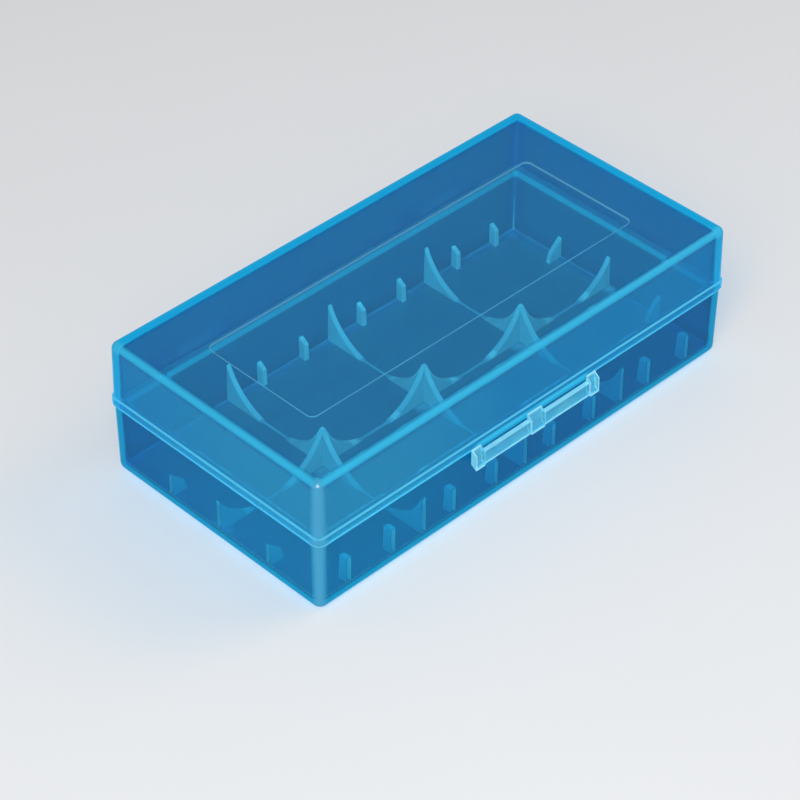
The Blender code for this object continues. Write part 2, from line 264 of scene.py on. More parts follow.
def extruded(name, outline, axis, low, high):
    """A flat outline drawn as a polygon and extruded along X or Y between two places."""
    bpy.ops.object.select_all(action="DESELECT")
    mesh = bpy.data.meshes.new(name)
    points = [(low, u, v) if axis == "X" else (u, low, v) for u, v in outline]
    mesh.from_pydata(points, [], [list(range(len(points)))])
    obj = bpy.data.objects.new(name, mesh)
    bpy.context.scene.collection.objects.link(obj)
    only(obj)
    bpy.ops.object.mode_set(mode="EDIT")
    bpy.ops.mesh.select_all(action="SELECT")
    step = (high - low, 0, 0) if axis == "X" else (0, high - low, 0)
    bpy.ops.mesh.extrude_region_move(TRANSFORM_OT_translate={"value": step})
    bpy.ops.mesh.select_all(action="SELECT")
    bpy.ops.mesh.normals_make_consistent(inside=False)
    bpy.ops.object.mode_set(mode="OBJECT")
    return obj


def centres(count, pitch):
    """The middles of count places that lie pitch apart, about zero."""
    return [(i - (count - 1) / 2) * pitch for i in range(count)]


def bed_radius(pitch):
    """The radius of the bed that runs from tip to tip and dips a little into the floor."""
    half_chord = (pitch - PLATE_TIP) / 2
    depth = PLATE_HEIGHT + BED_DIP
    return (half_chord**2 + depth**2) / (2 * depth)


def plate(half_x, half_y, place):
    """One plate of the cradle, drafted to a thinner top."""
    top = WALL + PLATE_HEIGHT
    made = add_block("plate", (-half_x, -half_y, WALL - ROOT), (half_x, half_y, top))
    narrow_end(made, top, PLATE_DRAFT, half_x, half_y)
    made.data.transform(Matrix.Translation(place))
    return made


def ridge(half_x, half_y, place):
    """One low ridge on the floor, along a plate."""
    made = add_block("ridge", (-half_x, -half_y, WALL - ROOT / 2), (half_x, half_y, WALL + RIDGE_HEIGHT))
    made.data.transform(Matrix.Translation(place))
    return made


def cradle():
    """The crossing plates, cut by the beds of the cells, and the low ridges that join the stars."""
    half_x = HALF_LENGTH - WALL + ROOT
    half_y = HALF_WIDTH - WALL + ROOT
    ridge_x = half_x - ROOT / 2
    ridge_y = half_y - ROOT / 2
    half_thick = PLATE_THICKNESS / 2
    half_ridge = RIDGE_THICKNESS / 2
    body = plate(half_x, half_thick, (0, 0, 0))
    ridges = [ridge(ridge_x, half_ridge, (0, 0, 0))]
    plates = []
    for x in centres(CROSS_BEDS - 1, CROSS_PITCH):
        plates.append(plate(half_thick, half_y, (x, 0, 0)))
        ridges.append(ridge(half_ridge, ridge_y, (x, 0, 0)))
    apply_boolean(body, "UNION", plates)
    beds = []
    bed_low = WALL - BED_DIP
    for y in centres(LONG_BEDS, LONG_PITCH):
        radius = bed_radius(LONG_PITCH)
        middle = (0, y, bed_low + radius)
        beds.append(add_rod("bed", radius, 2 * half_x + OVERRUN, middle, ALONG_X, BED_FACETS))
    for x in centres(CROSS_BEDS, CROSS_PITCH):
        radius = bed_radius(CROSS_PITCH)
        middle = (x, 0, bed_low + radius)
        beds.append(add_rod("bed", radius, 2 * half_y + OVERRUN, middle, ALONG_Y, BED_FACETS))
    apply_boolean(body, "DIFFERENCE", beds)
    apply_boolean(body, "UNION", ridges)
    return body


def fin(height, reach, lean, drop, run):
    """A fin against the plane x = 0: its front edge leans back, and a slope rises to its flat top."""
    low = WALL - ROOT
    top = WALL + height
    half = FIN_THICKNESS / 2
    outline = [
        (-ROOT, low),
        (reach, low),
        (reach - lean, top - drop),
        (reach - lean - run, top),
        (-ROOT, top),
    ]
    body = extruded("fin", outline, "Y", -half, half)

    def free(a, b):
        under_floor = near(a.z, low) and near(b.z, low)
        in_wall = near(a.x, -ROOT) and near(b.x, -ROOT)
        return not under_floor and not in_wall

    bevel_edges(body, free, FIN_EASE, EASE_STEPS)
    return body


def fins():
    """Two fins for each short cell on the long walls, and one for each long cell on the end walls.

    The first bay at the back has none.
    """
    made = []
    front = fin(FRONT_FIN_HEIGHT, FRONT_FIN_REACH, FRONT_FIN_LEAN, FRONT_FIN_DROP, FRONT_FIN_RUN)
    back = fin(BACK_FIN_HEIGHT, BACK_FIN_REACH, BACK_FIN_LEAN, BACK_FIN_DROP, BACK_FIN_RUN)
    end = fin(END_FIN_HEIGHT, END_FIN_REACH, END_FIN_LEAN, END_FIN_DROP, END_FIN_RUN)
    for hand, kind in ((-1, front), (1, back)):
        turn = Matrix.Rotation(-hand * math.pi / 2, 4, "Z")
        wall_y = hand * (HALF_WIDTH - WALL)
        for i, x in enumerate(centres(CROSS_BEDS, CROSS_PITCH)):
            if kind is back and i < BACK_FIN_FIRST_BAY:
                continue
            for step in (-1, 1):
                place = Matrix.Translation((x + step * SIDE_FIN_SPREAD / 2, wall_y, 0))
                made.append(copy_of(kind, place @ turn))
    for hand in (-1, 1):
        turn = Matrix.Rotation(math.pi if hand > 0 else 0, 4, "Z")
        for y in centres(LONG_BEDS, LONG_PITCH):
            place = Matrix.Translation((hand * (HALF_LENGTH - WALL), y, 0))
            made.append(copy_of(end, place @ turn))
    for kind in (front, back, end):
        bpy.data.objects.remove(kind, do_unlink=True)
    return made


def copy_of(obj, matrix):
    """A twin of obj with its own mesh, moved by the matrix."""
    mesh = obj.data.copy()
    mesh.transform(matrix)
    twin = bpy.data.objects.new(obj.name, mesh)
    bpy.context.scene.collection.objects.link(twin)
    return twin


def hinge_outline(upright):
    """A lug seen along the hinge: a round end, with a web to the back wall.

    upright is 1 for the lid's lugs and -1 for the tray's, which hang the other way up.
    """
    rise = SEAM_GAP / 2 + WEB_SET_BACK
    dip = math.asin(rise / BARREL_RADIUS)
    start = math.pi - dip
    end = 2 * math.pi + WEB_ANGLE
    points = [(HALF_WIDTH - ROOT, HINGE_Z + upright * rise)]
    for i in range(HINGE_FACETS + 1):
        angle = start + (end - start) * i / HINGE_FACETS
        u = BARREL_RADIUS * math.cos(angle)
        v = BARREL_RADIUS * math.sin(angle)
        points.append((HINGE_Y + u, HINGE_Z + upright * v))
    points.append((HALF_WIDTH - ROOT, HINGE_Z + upright * WEB_HEIGHT))
    return points


def hinge_places():
    """The middles of the two hinges along X."""
    return (-HINGE_SPREAD / 2, HINGE_SPREAD / 2)


def ears():
    """The tray's lugs, one on each side of each barrel."""
    made = []
    for x in hinge_places():
        for hand in (-1, 1):
            inner = x + hand * (BARREL_LENGTH / 2 + EAR_GAP)
            outer = inner + hand * EAR_THICKNESS
            made.append(extruded("ear", hinge_outline(-1), "X", min(inner, outer), max(inner, outer)))
    return made


def hinge_rods(radius, length):
    """A rod on the axis of each hinge: the lid's pins, or the bores in the tray's lugs."""
    made = []
    for x in hinge_places():
        made.append(add_rod("pin", radius, length, (x, HINGE_Y, HINGE_Z), ALONG_X, HINGE_FACETS))
    return made


def catch():
    """The bead on the tray's front that the latch hooks under."""
    middle = LID_LOW - CATCH_DROP
    half = CATCH_HEIGHT / 2
    outline = [
        (-HALF_WIDTH + ROOT, middle + half),
        (-HALF_WIDTH - CATCH_PROUD, middle),
        (-HALF_WIDTH - CATCH_PROUD, middle - half / 2),
        (-HALF_WIDTH + ROOT, middle - half),
    ]
    return extruded("catch", outline, "X", -CATCH_LENGTH / 2, CATCH_LENGTH / 2)


def tray_shell():
    """The tray in one moulding with its tongue, cradle, fins, lugs and bead."""
    slope = TRAY_LEAN / TRAY_HEIGHT
    tongue_top = TRAY_HEIGHT + TONGUE_HEIGHT
    body = rounded_block(
        "tray_shell", HALF_LENGTH, HALF_WIDTH, TRAY_HEIGHT, 0, TRAY_LEAN, TRAY_RADIUS, ROUND_STEPS
    )
    bevel_edges(body, at_height(TRAY_HEIGHT), EASE, EASE_STEPS)
    inset = WALL - TONGUE_WALL
    tongue = rounded_block(
        "tongue", HALF_LENGTH - inset, HALF_WIDTH - inset, TRAY_HEIGHT - WALL, tongue_top, 0,
        TRAY_RADIUS - inset, ROUND_STEPS, end_round=False
    )
    bevel_edges(tongue, at_height(tongue_top), TONGUE_EASE, EASE_STEPS)
    apply_boolean(body, "UNION", [tongue])

    mouth = tongue_top + OVERRUN
    grow = slope * (mouth - TRAY_HEIGHT)
    hollow = rounded_block(
        "hollow", HALF_LENGTH - WALL + grow, HALF_WIDTH - WALL + grow, mouth, WALL,
        slope * (mouth - WALL), INNER_RADIUS, INNER_STEPS
    )
    apply_boolean(body, "DIFFERENCE", [hollow])
    apply_boolean(body, "UNION", [cradle()] + fins())
    apply_boolean(body, "UNION", ears() + [catch()])
    bore_length = BARREL_LENGTH + 2 * (EAR_GAP + EAR_THICKNESS + OVERRUN)
    apply_boolean(body, "DIFFERENCE", hinge_rods(PIN_RADIUS + PIN_CLEARANCE, bore_length))
    return body


def lid_shell():
    """The lid in one moulding with its rim band, barrels, pins and sunk panel."""
    slope = LID_LEAN / (CASE_HEIGHT - LID_LOW)
    body = rounded_block(
        "lid_shell", HALF_LENGTH, HALF_WIDTH, LID_LOW, CASE_HEIGHT, LID_LEAN, LID_RADIUS, ROUND_STEPS
    )
    rim_top = LID_LOW + RIM_HEIGHT
    rim = rounded_block(
        "rim", HALF_LENGTH + RIM_PROUD, HALF_WIDTH + RIM_PROUD, LID_LOW, rim_top, 0,
        LID_RADIUS + RIM_PROUD, ROUND_STEPS, end_round=False
    )
    bevel_edges(rim, at_height(rim_top), RIM_EASE, EASE_STEPS)
    bevel_edges(rim, at_height(LID_LOW), EASE, EASE_STEPS)
    lugs = [rim]
    half_barrel = BARREL_LENGTH / 2
    for x in hinge_places():
        lugs.append(extruded("barrel", hinge_outline(1), "X", x - half_barrel, x + half_barrel))
    lugs += hinge_rods(PIN_RADIUS, BARREL_LENGTH + 2 * (EAR_GAP + EAR_THICKNESS - PIN_SET_BACK))
    apply_boolean(body, "UNION", lugs)

    mouth = LID_LOW - OVERRUN
    ceiling = CASE_HEIGHT - WALL
    grow = slope * OVERRUN
    hollow = rounded_block(
        "hollow", HALF_LENGTH - WALL + grow, HALF_WIDTH - WALL + grow, mouth, ceiling,
        slope * (ceiling - mouth), INNER_RADIUS, INNER_STEPS
    )
    inset = WALL - TONGUE_WALL - LAP_CLEARANCE
    rebate_top = TRAY_HEIGHT + TONGUE_HEIGHT + SEAM_GAP
    rebate = rounded_block(
        "rebate", HALF_LENGTH - inset, HALF_WIDTH - inset, mouth, rebate_top, 0,
        TRAY_RADIUS - inset, ROUND_STEPS, end_round=False
    )
    panel = rounded_block(
        "panel", PANEL_LENGTH / 2, PANEL_WIDTH / 2, CASE_HEIGHT - PANEL_DEPTH, CASE_HEIGHT + OVERRUN, 0,
        PANEL_RADIUS, ROUND_STEPS, end_round=False
    )
    apply_boolean(body, "DIFFERENCE", [hollow, rebate, panel])
    return body


def latch_clip():
    """Three blocks joined by a bar, all cut away behind their foot."""
    back = -HALF_WIDTH - LATCH_STAND_OFF
    top = LID_LOW + LATCH_TOP_LIFT
    bottom = LID_LOW - LATCH_DROP
    face = back - BLOCK_DEPTH
    block_outline = [
        (back, top),
        (face, top - BLOCK_SLOPE),
        (face - LIP_FLARE, bottom),
        (back, bottom + UNDERCUT),
    ]
    bar_face = back - BAR_DEPTH
    bar_top = LID_LOW - BAR_DROP
    bar_outline = [
        (back, bar_top),
        (bar_face, bar_top),
        (bar_face - 2 * LIP_FLARE, bottom + LIP_FLARE),
        (back, bottom + UNDERCUT + LIP_FLARE),
    ]
    half_bar = (LATCH_LENGTH - END_BLOCK) / 2
    body = extruded("latch_clip", bar_outline, "X", -half_bar, half_bar)
    blocks = []
    for x, width in ((-half_bar, END_BLOCK), (0, MIDDLE_BLOCK), (half_bar, END_BLOCK)):
        block = extruded("block", block_outline, "X", x - width / 2, x + width / 2)
        blocks.append(block)
    apply_boolean(body, "UNION", blocks)
    bevel = body.modifiers.new("ease", "BEVEL")
    bevel.width = LATCH_EASE
    bevel.segments = LATCH_EASE_STEPS
    bevel.limit_method = "ANGLE"
    bevel.angle_limit = CREASE
    only(body)
    bpy.ops.object.modifier_apply(modifier=bevel.name)
    return body


def finish_surface(obj):
    """Merges stray points, shades rounds smooth and keeps flat walls flat."""
    only(obj)
    bpy.ops.object.mode_set(mode="EDIT")
    bpy.ops.mesh.select_all(action="SELECT")
    bpy.ops.mesh.remove_doubles(threshold=STRAY_GAP)
    bpy.ops.object.mode_set(mode="OBJECT")
    bpy.ops.object.shade_smooth_by_angle(angle=CREASE)
    weighted = obj.modifiers.new("flat walls", "WEIGHTED_NORMAL")
    weighted.keep_sharp = True
    weighted.weight = FLAT_WEIGHT
    bpy.ops.object.modifier_apply(modifier=weighted.name)


# A Mix node's two inputs and its result, for colours and for numbers
COLOUR_SOCKETS = (6, 7, 2)
NUMBER_SOCKETS = (2, 3, 0)


class Finish:
    """A material under construction: its nodes, and short ways to add to them."""

    def __init__(self, name):
        self.material = bpy.data.materials.new(name)
        self.material.use_nodes = True
        self.tree = self.material.node_tree
        self.tree.nodes.clear()

    def node(self, kind, **inputs):
        """A new node with inputs set by name, where _ stands for a blank."""
        made = self.tree.nodes.new(kind)
        for name, value in inputs.items():
            self.feed(made.inputs[name.replace("_", " ")], value)
        return made

    def feed(self, socket, value):
        """Links a socket into another, or sets its value."""
        if isinstance(value, bpy.types.NodeSocket):
            self.tree.links.new(value, socket)
        else:
            socket.default_value = value

    def calc(self, operation, a, b=0.0):
        made = self.node("ShaderNodeMath")
        made.operation = operation
        self.feed(made.inputs[0], a)
        self.feed(made.inputs[1], b)
        return made.outputs[0]

    def total(self, a, b):
        return self.calc("ADD", a, b)

    def gap(self, a, b):
        """How far apart two places are."""
        return self.calc("ABSOLUTE", self.calc("SUBTRACT", a, b))

    def diagonal(self, a, b):
        """The diagonal of a rectangle with the sides a and b."""
        squares = self.total(self.calc("MULTIPLY", a, a), self.calc("MULTIPLY", b, b))
        return self.calc("SQRT", squares)

    def both(self, *shares):
        """The shares multiplied: 1 only where all of them are 1."""
        result = shares[0]
        for share in shares[1:]:
            result = self.calc("MULTIPLY", result, share)
        return result

    def least(self, *values):
        result = values[0]
        for value in values[1:]:
            result = self.calc("MINIMUM", result, value)
        return result

    def most(self, *values):
        result = values[0]
        for value in values[1:]:
            result = self.calc("MAXIMUM", result, value)
        return result

    def fade(self, value, low, high, at_low=0.0, at_high=1.0):
        """A soft step between two values: at_low up to low, at_high from high on."""
        made = self.node("ShaderNodeMapRange")
        made.interpolation_type = "SMOOTHSTEP"
        self.feed(made.inputs["Value"], value)
        made.inputs["From Min"].default_value = low
        made.inputs["From Max"].default_value = high
        made.inputs["To Min"].default_value = at_low
        made.inputs["To Max"].default_value = at_high
        return made.outputs["Result"]

    def fall(self, value, low, high):
        """A soft step down: 1 up to low, 0 from high on."""
        return self.fade(value, low, high, 1.0, 0.0)

    def blend(self, share, a, b):
        """From a to b, of colours or of numbers."""
        made = self.node("ShaderNodeMix")
        colours = isinstance(a, tuple) or isinstance(b, tuple)
        colours = colours or any(isinstance(v, bpy.types.NodeSocketColor) for v in (a, b))
        made.data_type = "RGBA" if colours else "FLOAT"
        first, second, result = COLOUR_SOCKETS if colours else NUMBER_SOCKETS
        self.feed(made.inputs[0], share)
        self.feed(made.inputs[first], a)
        self.feed(made.inputs[second], b)
        return made.outputs[result]

    def place(self):
        """The place on the object along X, Y and Z, in metres."""
        coords = self.node("ShaderNodeTexCoord")
        parts = self.node("ShaderNodeSeparateXYZ")
        self.tree.links.new(coords.outputs["Object"], parts.inputs[0])
        return parts.outputs[0], parts.outputs[1], parts.outputs[2]

    def noise(self, scale, detail):
        """A cloudy pattern through the object, from 0 to 1."""
        coords = self.node("ShaderNodeTexCoord")
        texture = self.node("ShaderNodeTexNoise", Scale=scale, Detail=detail)
        self.tree.links.new(coords.outputs["Object"], texture.inputs["Vector"])
        return texture.outputs["Fac"]

    def bump(self, height, strength, distance):
        made = self.node("ShaderNodeBump", Strength=strength, Distance=distance, Height=height)
        return made.outputs["Normal"]

    def close(self, colour, clearness, roughness, normal, tint, coat=None):
        """Ends in a see-through plastic that lets the lamps' light through with a tint."""
        shader = self.node("ShaderNodeBsdfPrincipled")
        shader.inputs["IOR"].default_value = PLASTIC_IOR
        self.feed(shader.inputs["Base Color"], colour)
        self.feed(shader.inputs["Transmission Weight"], clearness)
        self.feed(shader.inputs["Roughness"], roughness)
        self.feed(shader.inputs["Normal"], normal)
        if coat is not None:
            self.feed(shader.inputs["Coat Weight"], coat)
            shader.inputs["Coat Roughness"].default_value = SHEEN_ROUGHNESS
            shader.inputs["Coat IOR"].default_value = SHEEN_IOR
        passing = self.node("ShaderNodeBsdfTransparent")
        passing.inputs["Color"].default_value = tint
        path = self.node("ShaderNodeLightPath")
        pick = self.node("ShaderNodeMixShader")
        self.feed(pick.inputs[0], path.outputs["Is Shadow Ray"])
        self.feed(pick.inputs[1], shader.outputs[0])
        self.feed(pick.inputs[2], passing.outputs[0])
        out = self.node("ShaderNodeOutputMaterial")
        self.feed(out.inputs["Surface"], pick.outputs[0])
        return self.material


# Tones are linear. Clearness is the share of the light that passes one surface
PLASTIC_IOR = 1.12
SHEEN_IOR = 1.7
SHEEN_ROUGHNESS = 0.12
SHEEN = 0.5
LAMP_TINT = (0.75, 0.86, 0.93, 1)
LID_TOP = (0.18, 0.62, 0.79, 1)
LID_WALL = (0.015, 0.39, 0.69, 1)
# Lighter wall tone: painted light near the front left corner, and also the random cloud tone
LID_WALL_CLOUD_AND_PAINTED_LIGHT = (0.05, 0.48, 0.71, 1)
# Darker tone for the inside of the far walls: painted shade
LID_FAR_WALL_SHADE = (0.012, 0.16, 0.38, 1)
TRAY_WALL = (0.005, 0.36, 0.66, 1)
# Lighter wall tone: painted light near the front left corner, and also the random cloud tone
TRAY_WALL_CLOUD_AND_PAINTED_LIGHT = (0.02, 0.50, 0.76, 1)
# Darker tone for the inside of the far walls: painted shade
TRAY_FAR_WALL_SHADE = (0.0, 0.17, 0.35, 1)
TRAY_FLOOR = (0.02, 0.27, 0.47, 1)
RIB = (0.34, 0.60, 0.66, 1)
# Painted highlight for the crests of the plates and the edges of the fins
CREST_HIGHLIGHT = (0.42, 0.68, 0.69, 1)
# These edge tones are painted highlights along the edges, brighter on the rounds and dimmer along the
# far foot
EDGE = (0.04, 0.45, 0.71, 1)
LID_EDGE_HIGHLIGHT = (0.01, 0.40, 0.72, 1)
LID_EDGE_ROUND_HIGHLIGHT = (0.02, 0.56, 0.98, 1)
TRAY_EDGE_HIGHLIGHT = (0.0, 0.33, 0.60, 1)
TRAY_EDGE_ROUND_HIGHLIGHT = (0.0, 0.58, 0.98, 1)
FAR_FOOT_HIGHLIGHT = (0.0, 0.25, 0.46, 1)
# Painted highlight down the front left upright edge
STREAK_HIGHLIGHT = (0.07, 0.36, 0.58, 1)
# Painted glint at the top of the front left corner
SPOT_GLINT = (0.85, 0.95, 1.00, 1)
SEAM = (0.03, 0.56, 0.66, 1)
TONGUE = (0.02, 0.34, 0.56, 1)
LUG = (0.20, 0.72, 0.92, 1)
# Painted highlights along the rim's edges and the tray's top edge
UPPER_RIM_HIGHLIGHT = (0.10, 0.54, 0.76, 1)
LOWER_RIM_HIGHLIGHT = (0.28, 0.80, 0.90, 1)
TRAY_RIM_HIGHLIGHT = (0.03, 0.46, 0.72, 1)
# Painted highlight along the step around the panel
PANEL_HIGHLIGHT = (0.22, 0.58, 0.74, 1)
# Painted light in the shaded pocket above the latch's bar
POCKET_LIGHT = (0.05, 0.58, 0.84, 1)
LATCH_DEEP = (0.14, 0.66, 0.86, 1)
LATCH_PALE = (0.22, 0.76, 0.90, 1)
# Painted highlights along the latch's edges
LATCH_EDGE_HIGHLIGHT = (0.55, 0.88, 0.96, 1)
LATCH_TINT = (0.85, 0.95, 0.98, 1)
LID_TOP_CLEARNESS = 0.93
LID_WALL_CLEARNESS = 0.70
FAR_WALL_CLEARNESS = 0.45
TRAY_CLEARNESS = 0.86
TRAY_FLOOR_CLEARNESS = 0.70
RIB_CLEARNESS = 0.30
CREST_CLEARNESS = 0.10
EDGE_CLEARNESS = 0.15
SEAM_CLEARNESS = 0.20
TONGUE_CLEARNESS = 0.60
LUG_CLEARNESS = 0.60
RIM_LINE_CLEARNESS = 0.10
PANEL_LINE_CLEARNESS = 0.55
LATCH_CLEARNESS = 0.72
CLOUD_SHARE = 0.25
RIDGE_SHARE = 0.65
LATCH_LINE_SHARE = 0.8
INNER_LINE_SHARE = 0.6
STAR_SHARE = 0.75

# Grain: the noises' scales per metre and their detail, and how much they roughen
CLOUD_SCALE = 60
CLOUD_DETAIL = 3
GRAIN_SCALE = 420
GRAIN_DETAIL = 3
LATCH_CLOUD_SCALE = 350
LATCH_GRAIN_SCALE = 900
LATCH_GRAIN_DETAIL = 4
CLOUD_RANGE = (0.35, 0.65)
GRAIN_RANGE = (0.3, 0.7)
TRAY_ROUGHNESS = (0.04, 0.08)
LID_ROUGHNESS = (0.03, 0.06)
LATCH_ROUGHNESS = (0.05, 0.14)
BUMP_STRENGTH = 0.03
BUMP_DEPTH = 0.0001

# How far the tones reach, in metres
NEAR_EDGE = (0.0005, 0.0012)
TINT_LEAD = 0.0003
LIT_EDGE = (0.0020, 0.0024)
LIT_FOOT = (0.0018, 0.0021)
STAR_CORE = 0.0015
STAR_REACH = 0.0032
ROUND_CORE = 0.0006
ROUND_REACH = 0.0013
SHELL_CORE = 0.0006
SHELL_REACH = 0.0010
FAR_WALL_CORE = 0.0016
FAR_WALL_REACH = 0.0022
FLOOR_CORE = 0.0010
FLOOR_REACH = 0.0014
CEILING_CORE = 0.0012
CEILING_REACH = 0.0015
STREAK_CORE = 0.0006
STREAK_REACH = 0.0018
SPOT_CORE = 0.0005
SPOT_REACH = 0.0008
LINE_CORE = 0.00003
LINE_REACH = 0.00012
SOFT_LINE_REACH = 0.00020
SEAM_RISE = 0.0001
SEAM_REACH = 0.0005
SEAM_INNER_CORE = 0.0003
SEAM_INNER_RISE = 0.0008
SKIN = 0.0004
STAND_CLEAR = 0.00016
STAND_FULL = 0.00022
RIDGE_CLEAR = 0.00006
RIDGE_FULL = 0.00012
GLOW_CORE = 0.008
GLOW_REACH = 0.048
CREST_REACH = 0.0003
CREST_LOW = 0.00045
FIN_LIGHT_CORE = 0.00015
FIN_LIGHT_REACH = 0.00035
FIN_ZONE = 0.00045
FIN_ZONE_REACH = 0.0006
FOOT_CORE = 0.0001
FOOT_REACH = 0.0003
LATCH_LINE_REACH = 0.00016
LATCH_FOOT_REACH = 0.0003


class Sides:
    """How far in a place is from the left, right, front and back, and from the nearest of them."""

    def __init__(self, finish, x, y):
        self.left = finish.total(x, HALF_LENGTH)
        self.right = finish.calc("SUBTRACT", HALF_LENGTH, x)
        self.front = finish.total(y, HALF_WIDTH)
        self.back = finish.calc("SUBTRACT", HALF_WIDTH, y)
        self.nearest = finish.least(self.left, self.right, self.front, self.back)


def outer_share(finish, sides, from_end):
    """1 on the outside of the shell, 0 on the inside of its walls."""
    return finish.fall(finish.least(from_end, sides.nearest), SHELL_CORE, SHELL_REACH)


def highlighted_edge(finish, nearest, reaches, outside, tone):
    """Two layers of a painted highlight along an edge: the tone spreads a little further in than the
    haze.
    """
    low, high = reaches
    share = finish.both(finish.fall(nearest, low, high), outside)
    tint_share = finish.both(finish.fall(nearest, low + TINT_LEAD, high + TINT_LEAD), outside)
    return [(tint_share, tone, None), (share, tone, EDGE_CLEARNESS)]


def near_edge(finish, sides, from_end):
    """The layers of a painted highlight on the left and the front edge of an end, about as wide as the
    wall.
    """
    nearest = finish.most(finish.least(sides.left, sides.front), from_end)
    return highlighted_edge(finish, nearest, NEAR_EDGE, 1.0, EDGE)


def from_uprights(finish, sides):
    """How far from the upright edges, but for the one between the left and the front."""
    front_right = finish.most(sides.right, sides.front)
    back_left = finish.most(sides.left, sides.back)
    back_right = finish.most(sides.right, sides.back)
    return finish.least(front_right, back_left, back_right)


def lit_edge(finish, nearest, reaches, outside, flat_tone, round_tone):
    """The layers of a painted highlight on an edge, as wide as the wall behind it."""
    tone = finish.blend(finish.fade(nearest, ROUND_CORE, ROUND_REACH), round_tone, flat_tone)
    return highlighted_edge(finish, nearest, reaches, outside, tone)


def corner_highlight(finish, sides):
    """Painted highlight: 1 along the upright edge between the left and the front wall."""
    return finish.fall(finish.most(sides.left, sides.front), STREAK_CORE, STREAK_REACH)


def corner_glint(finish, sides, from_end):
    """Painted glint: 1 at the corner where that upright edge ends."""
    nearest = finish.most(sides.left, sides.front, from_end)
    return finish.fall(nearest, SPOT_CORE, SPOT_REACH)


def painted_far_wall_shade(finish, sides, outside):
    """Painted shade: 1 on the inside of the right and the back wall, which get a darker tone."""
    nearest = finish.least(sides.right, sides.back)
    share = finish.fall(nearest, FAR_WALL_CORE, FAR_WALL_REACH)
    return finish.both(share, finish.calc("SUBTRACT", 1.0, outside))


def skin(finish, sides):
    """1 on the outer faces of the walls."""
    return finish.fall(sides.nearest, 0.0, SKIN)


def line_at(finish, place, where, reach):
    """1 on a thin line where place is as large as where."""
    return finish.fall(finish.gap(place, where), LINE_CORE, reach)


def panel_highlight(finish, x, y, z):
    """Painted highlight: 1 along the step around the sunk panel."""
    over_x = finish.calc("SUBTRACT", finish.calc("ABSOLUTE", x), PANEL_LENGTH / 2 - PANEL_RADIUS)
    over_y = finish.calc("SUBTRACT", finish.calc("ABSOLUTE", y), PANEL_WIDTH / 2 - PANEL_RADIUS)
    out_x = finish.most(over_x, 0.0)
    out_y = finish.most(over_y, 0.0)
    outwards = finish.diagonal(out_x, out_y)
    inwards = finish.least(finish.most(over_x, over_y), 0.0)
    line = line_at(finish, finish.total(outwards, inwards), PANEL_RADIUS, LINE_REACH)
    return finish.both(line, finish.fade(z, CASE_HEIGHT - WALL / 2, CASE_HEIGHT - PANEL_DEPTH - EASE))


def crest_light(finish, x, y, z):
    """A painted highlight on the edge that the beds cut into the plates, up to 1 at the tips."""

    def from_bed(across, pitch):
        radius = bed_radius(pitch)
        side = finish.calc("SUBTRACT", finish.calc("PINGPONG", across, pitch), pitch / 2)
        up = finish.calc("SUBTRACT", z, WALL - BED_DIP + radius)
        return finish.calc("SUBTRACT", finish.diagonal(side, up), radius)

    nearest = finish.least(from_bed(y, LONG_PITCH), from_bed(x, CROSS_PITCH))
    crest = finish.fall(nearest, LINE_CORE, CREST_REACH)
    return finish.both(crest, finish.fade(z, WALL + CREST_LOW, WALL + PLATE_HEIGHT))


def fin_light(finish, x, y, z, sides):
    """Painted highlight: 1 along the top and the inner end of each fin."""
    by_back = finish.fade(y, -EASE, EASE)

    def rim(inwards, above, reach, height):
        to_end = finish.calc("SUBTRACT", reach, inwards)
        to_top = finish.calc("SUBTRACT", height, above)
        return finish.fall(finish.least(to_end, to_top), FIN_LIGHT_CORE, FIN_LIGHT_REACH)

    above = finish.calc("SUBTRACT", z, WALL)
    side_reach = finish.blend(by_back, FRONT_FIN_REACH, BACK_FIN_REACH)
    side_height = finish.blend(by_back, FRONT_FIN_HEIGHT, BACK_FIN_HEIGHT)
    from_side = finish.calc("SUBTRACT", finish.least(sides.front, sides.back), WALL)
    side_rim = rim(from_side, above, side_reach, side_height)
    from_plate = finish.calc("PINGPONG", x, CROSS_PITCH / 2)
    side_zone = finish.gap(from_plate, (CROSS_PITCH - SIDE_FIN_SPREAD) / 2)
    from_end = finish.calc("SUBTRACT", finish.least(sides.left, sides.right), WALL)
    end_rim = rim(from_end, above, END_FIN_REACH, END_FIN_HEIGHT)
    end_zone = finish.gap(finish.calc("PINGPONG", y, LONG_PITCH / 2), LONG_PITCH / 2)
    side = finish.both(side_rim, finish.fall(side_zone, FIN_ZONE, FIN_ZONE_REACH))
    end = finish.both(end_rim, finish.fall(end_zone, FIN_ZONE, FIN_ZONE_REACH))
    return finish.most(side, end)


def standing(finish, sides, z, clear, full):
    """1 on what stands inside the walls and above the floor."""
    inwards = finish.calc("SUBTRACT", sides.nearest, WALL)
    above = finish.calc("SUBTRACT", z, WALL)
    return finish.fade(finish.least(inwards, above), clear, full)


def star_foot(finish, x, y):
    """STAR_SHARE around the places where the plates cross, 0 further off."""
    across = finish.calc("PINGPONG", x, CROSS_PITCH / 2)
    return finish.fade(finish.diagonal(across, y), STAR_CORE, STAR_REACH, STAR_SHARE, 0.0)


def painted_corner_light(finish, sides):
    """Painted light: 1 near the upright edge between the left and the front wall, falling to 0 further
    off.
    """
    return finish.fall(finish.total(sides.left, sides.front), GLOW_CORE, GLOW_REACH)


def pocket_light(finish, x, y, z):
    """Painted light: 1 on the front between the blocks of the latch, above its bar, where the shaded
    recess is painted bright.
    """
    half = LATCH_LENGTH / 2
    along = finish.fall(finish.calc("ABSOLUTE", x), half - END_BLOCK, half)
    front = finish.fall(finish.total(y, HALF_WIDTH), 0.0, SKIN)
    low = finish.fade(z, LID_LOW - 2 * BAR_DROP, LID_LOW - BAR_DROP)
    high = finish.fall(z, LID_LOW + LATCH_TOP_LIFT, LID_LOW + 2 * LATCH_TOP_LIFT)
    return finish.both(along, front, low, high)


